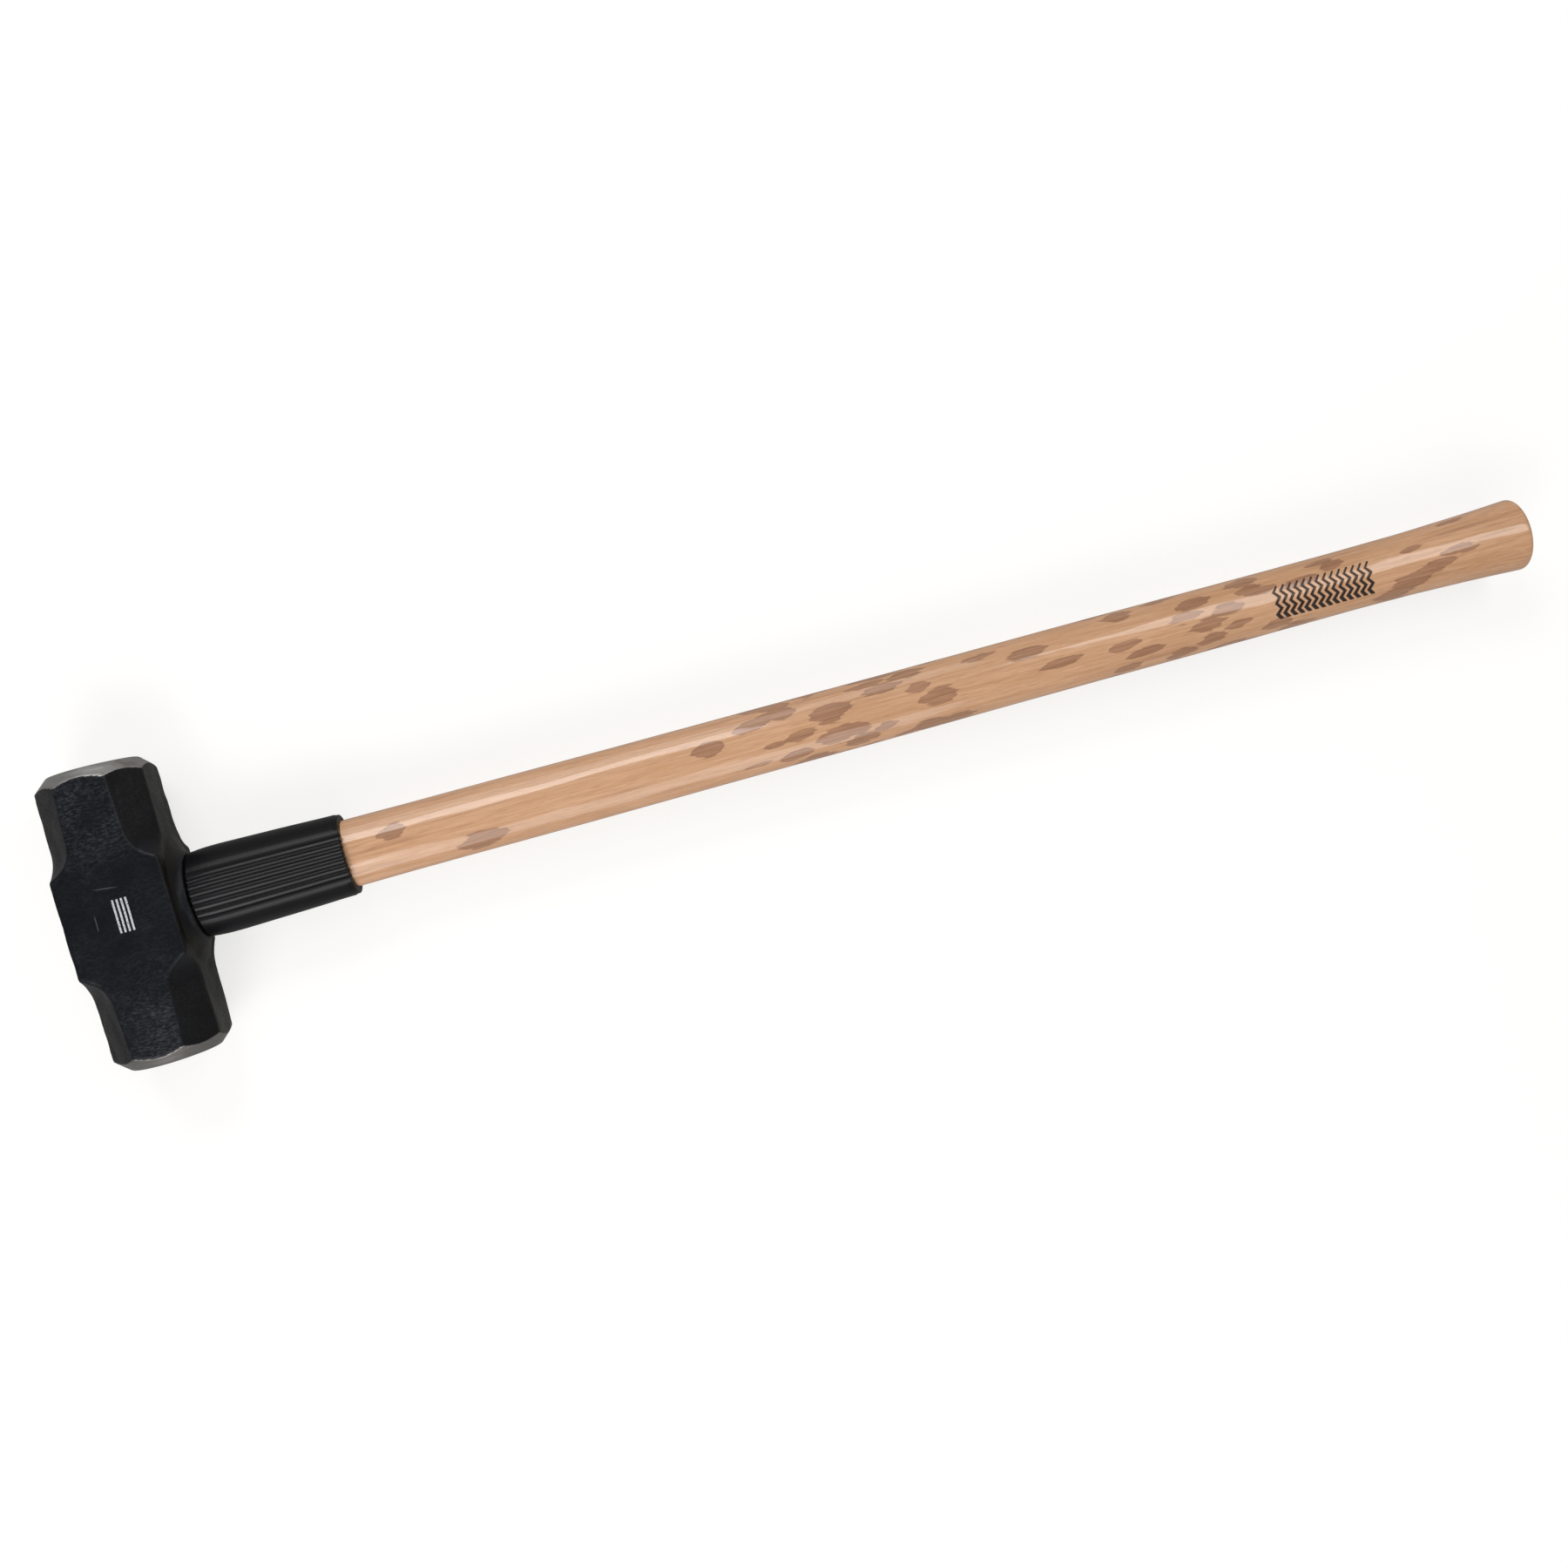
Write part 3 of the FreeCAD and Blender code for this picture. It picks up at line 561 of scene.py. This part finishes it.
def print_mask(shader, across, along, up):
    """A plain print without lettering: a few equal bars side by side."""
    mask = 0.0
    for bar in range(PRINT_BARS):
        middle = PRINT_MIDDLE[0] + (bar - (PRINT_BARS - 1) / 2) * PRINT_PITCH
        stripe = inside(shader, across, middle - PRINT_BAR_WIDTH / 2, middle + PRINT_BAR_WIDTH / 2)
        mask = shader.math("MAXIMUM", mask, stripe)
    low, high = PRINT_MIDDLE[1] - PRINT_BAR_LENGTH / 2, PRINT_MIDDLE[1] + PRINT_BAR_LENGTH / 2
    worn = shader.step(shader.noise((1200, 1200, 1200), detail=2), 0.28, 0.50)
    return both(shader, mask, inside(shader, along, low, high), worn, on_upper_cheek(shader, up))


def scratches(shader, across, along, up):
    """A long light scratch and a short one on the upper cheek."""
    bent = shader.math("MULTIPLY_ADD", across, 0.12, along)
    long_one = both(shader, inside(shader, bent, 17.2 * MM, 17.8 * MM, 0.3 * MM),
                    inside(shader, across, -7 * MM, 3 * MM, 3 * MM))
    short_one = both(shader, inside(shader, across, -11.9 * MM, -11.4 * MM, 0.25 * MM),
                     inside(shader, along, -4 * MM, 4 * MM, 1 * MM))
    mask = shader.math("MAXIMUM", long_one, short_one)
    return both(shader, mask, on_upper_cheek(shader, up))


# ---------------------------------------------------------------- handle


def graded_steps(start, end, step, fine_start, fine_end, fine_step):
    """Places from start to end, closer together between fine_start and fine_end."""
    before = np.arange(start, fine_start, step)
    fine = np.arange(fine_start, fine_end, fine_step)
    after = np.linspace(fine_end, end, max(2, round((end - fine_end) / step)))
    return np.concatenate([before, fine, after])


def column_turns(half_width, half_depth):
    """Turns of the mesh columns about the handle's axis, evenly spaced on the surface."""
    samples = np.linspace(-math.pi, math.pi, 4001)
    speed = np.hypot(half_width * np.cos(samples), half_depth * np.sin(samples))
    length = np.concatenate([[0], np.cumsum((speed[1:] + speed[:-1]) / 2 * np.diff(samples))])
    length -= length[len(length) // 2]
    places = graded_steps(length[0], length[-1], COLUMN_STEP, GRIP_SPAN[0] - MM, GRIP_SPAN[1] + MM,
                          FINE_STEP)[:-1]
    return np.interp(places, length, samples), places


def zigzag_depth(along, around):
    """How deep the grip pattern is burnt, as a share of its full depth."""
    first = GRIP_MIDDLE - (GRIP_LINES - 1) / 2 * GRIP_PITCH
    ramp = np.abs(np.mod((around - GRIP_SPAN[1]) / ZIGZAG_PERIOD, 1) * 2 - 1) - 0.5
    line = (along - first - ramp * ZIGZAG_HEIGHT) / GRIP_PITCH
    nearest = np.clip(np.round(line), 0, GRIP_LINES - 1)
    slope = math.hypot(1, 2 * ZIGZAG_HEIGHT / ZIGZAG_PERIOD)
    distance = np.abs(line - nearest) * GRIP_PITCH / slope
    low, high = GRIP_SPAN
    width = BURN_WIDTH * (1.4 - 0.65 * smooth_step(around, low, high))
    burnt = 1 - smooth_step(distance, width * 0.3, width * 0.72)
    soft = 0.3 * MM
    return burnt * smooth_step(around, low - soft, low) * (1 - smooth_step(around, high, high + soft))


def fleck_field(along, around, girth):
    """Above 0 inside a fleck of darker wood, rising to 1 in its middle."""
    random = np.random.default_rng(FLECK_SEED)
    field = np.full(along.shape, NO_FLECK)
    for start, end, count in FLECKED_STRETCHES:
        # one fleck in each equal part of the stretch, and spread evenly around the handle
        turns = random.permutation(count)
        for part in range(count):
            x = start + (part + random.uniform()) / count * (end - start)
            y = (turns[part] + random.uniform()) / count * girth
            length = random.uniform(*FLECK_LENGTHS)
            width = length * random.uniform(*FLECK_SLENDERNESS)
            ahead = (along - x) / (length / 2)
            offset = np.mod(around - y + girth / 2, girth) - girth / 2
            beside = (offset - (along - x) * FLECK_TILT) / (width / 2)
            field = np.maximum(field, 1 - ahead**2 - np.abs(beside))
    return field


def make_shaft():
    """The handle outside the head, with its grip pattern burnt in."""
    surface = surface_of("handle")
    half_pattern = (GRIP_LINES / 2 + 0.6) * GRIP_PITCH
    round_start = HANDLE_HIGH.x - BUTT_ROUNDING
    places = graded_steps(SHAFT_START, round_start - MM, ROW_STEP,
                          GRIP_MIDDLE - half_pattern, GRIP_MIDDLE + half_pattern, FINE_STEP)
    ovals = measured_ovals(surface, places, MEASURING_STEP)
    turns, around = column_turns(*oval_at(surface, GRIP_MIDDLE))
    rings = oval_rings(places, ovals, turns)

    normals = grid_normals(rings, loop=False)
    along_grid = rings[:, :, 0]
    around_grid = np.broadcast_to(around, along_grid.shape)
    burnt = zigzag_depth(along_grid, around_grid)
    relief = waves(rings, [160 * MM, 14 * MM, 14 * MM], seed=11) * WOOD_WAVE
    relief += waves(rings, [40 * MM, 3.0 * MM, 3.0 * MM], seed=12) * WOOD_WAVE / 3
    held = smooth_step(along_grid, SLEEVE_HIGH.x - 6 * MM, SLEEVE_HIGH.x + 2 * MM)
    rings = rings + normals * (relief * held - burnt * BURN_DEPTH)[:, :, None]

    butt = butt_rings(ovals[-1], round_start, turns)
    cap = cap_rings(SHAFT_START, ovals[0], turns)
    everything = np.concatenate([cap, rings, butt])
    rows, columns = everything.shape[:2]
    faces = grid_faces(rows, columns, loop=False)
    faces.append(list(range(columns)))
    faces.append(list(range((rows - 1) * columns, rows * columns)))
    piece = add_mesh("wooden_handle", everything.reshape(-1, 3), faces)

    girth = around[-1] - around[0] + COLUMN_STEP
    field = fleck_field(everything[:, :, 0], np.broadcast_to(around, (rows, columns)), girth)
    burnt = np.concatenate([np.zeros(cap.shape[:2]), burnt, np.zeros(butt.shape[:2])])
    end = np.zeros((rows, columns))
    end[everything[:, :, 0] >= HANDLE_HIGH.x - MM / 100] = 1
    set_attribute(piece, "fleck", field)
    set_attribute(piece, "burnt", burnt)
    set_attribute(piece, "end_grain", end)
    paint_piece(piece, wood_material("varnished_wood"))
    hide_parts("handle")
    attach(piece, "root")
    return piece


def butt_rings(oval, start, turns):
    """The butt's rounded edge and its flat end, closed towards the axis."""
    angles = np.linspace(0, math.pi / 2, BUTT_ARC_RINGS)
    shrink = BUTT_ROUNDING * (1 - np.cos(angles))
    places = list(start + BUTT_ROUNDING * np.sin(angles))
    ovals = [oval - less for less in shrink]
    for share in BUTT_END_SHARES:
        places.append(HANDLE_HIGH.x)
        ovals.append(ovals[len(angles) - 1] * share)
    return oval_rings(places, np.array(ovals), turns)


def cap_rings(x, oval, turns):
    """Rings that close the shaft's other end, inside the collar."""
    return oval_rings([x] * len(CAP_SHARES), np.outer(CAP_SHARES, oval), turns)


def make_tenon():
    """The handle's tenon, sawn and wedged, whose end shows at the top of the head."""
    piece = remeshed_copy("handle_tenon", "handle", TENON_VOXEL, keep_below=SHAFT_START)
    mesh = piece.data
    points = points_of(mesh)
    at_end = points[:, 0] < HANDLE_LOW.x + MM
    saw_marks = waves(points, [1.0, 9 * MM, 1.6 * MM], seed=21) * 0.08 * MM
    points[:, 0] += np.where(at_end, saw_marks + 0.1 * MM, 0)
    mesh.vertices.foreach_set("co", points.ravel())
    mesh.update()
    set_attribute(piece, "fleck", np.full(len(points), NO_FLECK))
    set_attribute(piece, "burnt", np.zeros(len(points)))
    set_attribute(piece, "end_grain", at_end)
    paint_piece(piece, wood_material("tenon_wood"))
    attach(piece, "root")
    return piece


def ring_distance(shader):
    """Distance from the tree's heart, which ran beside the handle, wobbling along it."""
    along, across, up = shader.axes()
    wobble = shader.noise((5, 5, 5), detail=2)
    across = shader.math("MULTIPLY_ADD", wobble, 0.030, across)
    up = shader.math("MULTIPLY_ADD", shader.noise((4, 9, 9), detail=1), 0.022, up)
    from_heart_across = shader.math("ADD", across, HEART_ACROSS)
    from_heart_up = shader.math("SUBTRACT", up, HEART_UP)
    squares = shader.math("ADD", shader.math("POWER", from_heart_across, 2.0),
                          shader.math("POWER", from_heart_up, 2.0))
    return shader.math("SQRT", squares)


def wood_material(name):
    """Light, fine-grained wood with brown flecks under clear varnish."""
    shader = Shader(name)
    end_grain = shader.attribute("end_grain")
    rings = shader.math("SINE", shader.math("MULTIPLY", ring_distance(shader), 2 * math.pi / RING_PITCH))
    rings = shader.step(rings, -1.0, 1.0)
    fibres = shader.step(shader.noise((22, 700, 700), detail=5, roughness=0.65), 0.34, 0.66)
    pores = shader.noise((90, 2200, 2200), detail=2, roughness=0.5)
    cloud = shader.noise((7, 34, 34), detail=3)
    streak = shader.noise((9, 260, 260), detail=3, roughness=0.5)

    wood = shader.mix(fibres, WOOD_DARK, WOOD_LIGHT)
    wood = shader.mix(shader.math("MULTIPLY", rings, 0.16), wood, WOOD_RING)
    wood = shader.mix(shader.step(cloud, 0.35, 0.75, 0.0, 0.30), wood, WOOD_CLOUD)
    wood = shader.mix(shader.step(streak, 0.58, 0.78, 0.0, 0.5), wood, WOOD_STREAK)
    wood = shader.mix(shader.step(pores, 0.55, 0.72, 0.0, 0.40), wood, WOOD_PORE)

    fringe = shader.noise((50, 620, 620), detail=4, roughness=0.6)
    fringe = shader.math("MULTIPLY_ADD", fringe, 1.6, -0.8)
    outline = shader.noise((38, 150, 150), detail=2)
    outline = shader.math("MULTIPLY_ADD", outline, 1.3, -0.62)
    field = shader.math("ADD", shader.attribute("fleck"), shader.math("ADD", fringe, outline))
    fleck = shader.step(field, 0.0, 0.16)
    rim = shader.math("MULTIPLY", fleck, shader.step(field, 0.14, 0.50, 1.0, 0.0))
    brown = shader.mix(fibres, FLECK_DARK, FLECK_LIGHT)
    brown = shader.mix(shader.step(pores, 0.5, 0.7, 0.0, 0.4), brown, FLECK_PORE)
    brown = shader.mix(shader.math("MULTIPLY", rim, 0.35), brown, FLECK_RIM)
    wood = shader.mix(shader.math("MULTIPLY", fleck, 0.86), wood, brown)

    sawn = shader.mix(rings, SAWN_LIGHT, SAWN_DARK)
    sawn = shader.mix(shader.step(pores, 0.45, 0.65, 0.0, 0.5), sawn, SAWN_PORE)
    wood = shader.mix(end_grain, wood, sawn)

    burnt = shader.attribute("burnt")
    char = shader.step(shader.math("MULTIPLY_ADD", pores, 0.25, burnt), 0.38, 0.72)
    scorch = shader.step(burnt, 0.02, 0.5, 0.0, 0.6)
    wood = shader.mix(scorch, wood, SCORCHED)
    wood = shader.mix(char, wood, CHARRED)

    varnish = shader.math("MULTIPLY_ADD", char, -0.5, 0.85)
    fine = shader.bump(fibres, 0.05 * MM, 0.35)
    normal = shader.bump(pores, 0.03 * MM, 0.35, fine)
    shader.set(
        Base_Color=wood,
        Roughness=shader.step(fibres, 0.2, 0.8, 0.42, 0.55),
        Normal=normal,
        Coat_Weight=varnish,
        Coat_Roughness=0.08,
        Coat_IOR=1.5,
        Coat_Tint=VARNISH_TINT,
    )
    return shader.material


# ---------------------------------------------------------------- sleeve


def make_sleeve():
    """The rubber sleeve: rounded ribs above and below, and a lip at the hands' end."""
    outside = surface_of("rubber_sleeve")
    wood = surface_of("handle")
    start, end = SLEEVE_LOW.x, SLEEVE_HIGH.x
    turns = np.linspace(-math.pi, math.pi, SLEEVE_COLUMNS, endpoint=False)
    straight = np.linspace(start + SLEEVE_ROUNDING, end - SLEEVE_ROUNDING,
                           round((end - start) / SLEEVE_STEP))
    ovals = measured_ovals(outside, straight, MEASURING_STEP)
    bore = measured_ovals(wood, straight, MEASURING_STEP) + SLEEVE_CLEARANCE

    angles = np.linspace(0, math.pi / 2, 6)[1:]
    shrink = SLEEVE_ROUNDING * (1 - np.cos(angles))
    reach = SLEEVE_ROUNDING * np.sin(angles)
    head_end = [(straight[0] - out, ovals[0] - less) for out, less in zip(reach, shrink)][::-1]
    grip_end = [(straight[-1] + out, ovals[-1] - less) for out, less in zip(reach, shrink)]
    path = head_end + list(zip(straight, ovals)) + grip_end
    outer_places = np.array([place for place, _ in path])
    outer_ovals = np.array([oval for _, oval in path])

    rings = oval_rings(outer_places, outer_ovals, turns)
    normals = grid_normals(rings, loop=False)
    height, crest = rib_heights(rings, outer_places)
    rings = rings + normals * height[:, :, None]
    inner_places = np.concatenate([[end], straight[::-1], [start]])
    inner_ovals = np.concatenate([bore[-1:], bore[::-1], bore[:1]])
    inner = oval_rings(inner_places, inner_ovals, turns)
    everything = np.concatenate([rings, inner])
    rows, columns = everything.shape[:2]
    piece = add_mesh("ribbed_sleeve", everything.reshape(-1, 3), grid_faces(rows, columns, loop=True))
    set_attribute(piece, "crest", np.concatenate([crest, np.zeros(inner.shape[:2])]))
    paint_piece(piece, rubber_material())
    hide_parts("rubber_sleeve")
    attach(piece, "root")
    return piece


def rib_heights(rings, places):
    """How far the outside lies off the sleeve's barrel, and where its ribs are."""
    across = rings[:, :, 1]
    up = np.abs(rings[:, :, 2] - AXIS_HEIGHT)
    angle = np.abs(np.arctan2(across, up))
    place = angle / GROOVE_PITCH + 0.5
    last = GROOVES / 2
    off_groove = np.abs(place - np.clip(np.round(place), 1, last))
    share = np.clip(off_groove * 2, 0, 1)
    arc = np.sqrt(1 - (1 - share) ** 2)
    ribs = -RIB_HEIGHT * (1 - arc)
    smooth_side = smooth_step(angle, GROOVE_PITCH * (last + 0.2), GROOVE_PITCH * (last + 1.2))
    near_end = smooth_step(places, places[-1] - LIP_LENGTH, places[-1] - LIP_LENGTH / 2)[:, None]
    lip = LIP_HEIGHT * near_end * smooth_side
    seam = SEAM_HEIGHT * (1 - smooth_step(up, SEAM_WIDTH / 3, SEAM_WIDTH)) * (1 - near_end)
    return ribs + lip + seam, arc * (1 - smooth_side)


def rubber_material():
    """Black moulded rubber, polished on the crests of its ribs."""
    shader = Shader("moulded_rubber")
    grain = shader.noise((1100, 1100, 1100), detail=3)
    cloud = shader.noise((60, 160, 160), detail=3)
    scuffs = shader.noise((25, 900, 900), detail=4, roughness=0.7)
    black = shader.mix(cloud, RUBBER_DARK, RUBBER_LIGHT)
    black = shader.mix(shader.step(scuffs, 0.60, 0.80, 0.0, 0.4), black, RUBBER_SCUFF)
    shader.set(
        Base_Color=black,
        Roughness=shader.step(scuffs, 0.2, 0.8, 0.30, 0.44),
        Specular_IOR_Level=shader.step(shader.attribute("crest"), 0.3, 1.0, 0.13, 0.34),
        Normal=shader.bump(grain, 0.05 * MM, 0.5),
    )
    return shader.material


# ---------------------------------------------------------------- wedges


def wedge_steel_material():
    """Steel, mill-finished, with hammer marks on the ends that were driven."""
    shader = Shader("wedge_steel")
    brushed = shader.noise((60, 60, 1800), detail=3)
    marks = shader.noise((260, 260, 260), detail=3)
    steel = shader.mix(brushed, WEDGE_STEEL_DARK, WEDGE_STEEL_LIGHT)
    steel = shader.mix(shader.step(marks, 0.55, 0.75, 0.0, 0.6), steel, WEDGE_STEEL_MARK)
    shader.set(
        Base_Color=steel,
        Metallic=1.0,
        Roughness=shader.step(marks, 0.2, 0.8, 0.34, 0.6),
        Normal=shader.bump(marks, 0.2 * MM, 0.6),
    )
    return shader.material


def wedge_wood_material():
    """Dense, darker wood, whose end grain faces out of the eye."""
    shader = Shader("wedge_wood")
    fibres = shader.noise((30, 500, 1500), detail=4)
    pores = shader.noise((300, 2400, 2400), detail=2)
    wood = shader.mix(fibres, WEDGE_WOOD_DARK, WEDGE_WOOD_LIGHT)
    wood = shader.mix(shader.step(pores, 0.5, 0.7, 0.0, 0.6), wood, WEDGE_WOOD_PORE)
    shader.set(Base_Color=wood, Roughness=0.62, Normal=shader.bump(fibres, 0.15 * MM, 0.6))
    return shader.material


def finish_wedges():
    """The wedges keep their CAD shapes, with softened edges on the steel."""
    paint_piece(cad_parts["wooden_wedge"], wedge_wood_material())
    paint_piece(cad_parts["steel_wedges"], wedge_steel_material())
    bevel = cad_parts["steel_wedges"].modifiers.new("softened_edges", "BEVEL")
    bevel.width = 0.2 * MM
    bevel.segments = 2
    bevel.limit_method = "ANGLE"


# ---------------------------------------------------------------- studio


def make_floor():
    """A plain pale floor that the head rests on, a little brighter to the camera."""
    half = FLOOR_HALF
    corners = [(-half, -half, 0), (half, -half, 0), (half, half, 0), (-half, half, 0)]
    floor = add_mesh("floor", corners, [[0, 1, 2, 3]], smooth=False)
    floor.location.z = HEAD_LOW.z - FLOOR_GAP
    shader = Shader("pale_floor")
    seen = shader.add("ShaderNodeLightPath").outputs["Is Camera Ray"]
    away = shader.add("ShaderNodeVectorMath", [shader.place], operation="LENGTH").outputs["Value"]
    shown = shader.step(away, 1.0, 4.0, 0.71, 0.88)
    shader.set(
        Base_Color=FLOOR_TONE,
        Roughness=0.9,
        Specular_IOR_Level=0.1,
        Emission_Color=FLOOR_GLOW,
        Emission_Strength=shader.step(seen, 0.0, 1.0, 0.10, shown),
    )
    paint_piece(floor, shader.material)


def add_light(name, place, width, height, watts):
    """A soft rectangular light that faces the tool."""
    data = bpy.data.lights.new(name, "AREA")
    data.shape = "RECTANGLE"
    data.size = width
    data.size_y = height
    data.energy = watts
    light = bpy.data.objects.new(name, data)
    light.location = place
    towards = Vector(LIT_PLACE) - Vector(place)
    light.rotation_euler = towards.to_track_quat("-Z", "Y").to_euler()
    bpy.context.scene.collection.objects.link(light)


def make_lights():
    """Soft boxes at both sides and one over the butt, and a pale but dim room."""
    for name, place, width, height, watts in LIGHTS:
        add_light(name, place, width, height, watts)
    world = bpy.data.worlds.new("room")
    world.use_nodes = True
    bpy.context.scene.world = world
    nodes, links = world.node_tree.nodes, world.node_tree.links
    seen = nodes.new("ShaderNodeBackground")
    seen.inputs["Color"].default_value = ROOM_SEEN
    felt = nodes["Background"]
    felt.inputs["Color"].default_value = ROOM_LIGHT
    felt.inputs["Strength"].default_value = ROOM_STRENGTH
    path = nodes.new("ShaderNodeLightPath")
    choice = nodes.new("ShaderNodeMixShader")
    links.new(path.outputs["Is Camera Ray"], choice.inputs[0])
    links.new(felt.outputs[0], choice.inputs[1])
    links.new(seen.outputs[0], choice.inputs[2])
    links.new(choice.outputs[0], nodes["World Output"].inputs["Surface"])


def make_camera():
    """Looks down at the tool from in front of its upper cheek, turned so that it lies aslant."""
    data = bpy.data.cameras.new("camera")
    data.sensor_width = SENSOR_WIDTH
    data.lens = FOCAL_LENGTH
    data.clip_start = NEAREST_SEEN
    camera = bpy.data.objects.new("camera", data)
    forward = Vector(CAMERA_FORWARD).normalized()
    right = Vector(CAMERA_RIGHT)
    right = (right - forward * right.dot(forward)).normalized()
    up = right.cross(forward)
    turn = Matrix((right, up, -forward)).transposed().to_4x4()
    camera.matrix_world = Matrix.Translation(CAMERA_PLACE) @ turn
    bpy.context.scene.collection.objects.link(camera)
    bpy.context.scene.camera = camera


make_head()
make_shaft()
make_tenon()
make_sleeve()
finish_wedges()
make_floor()
make_lights()
make_camera()
bpy.context.scene.view_settings.view_transform = "Standard"
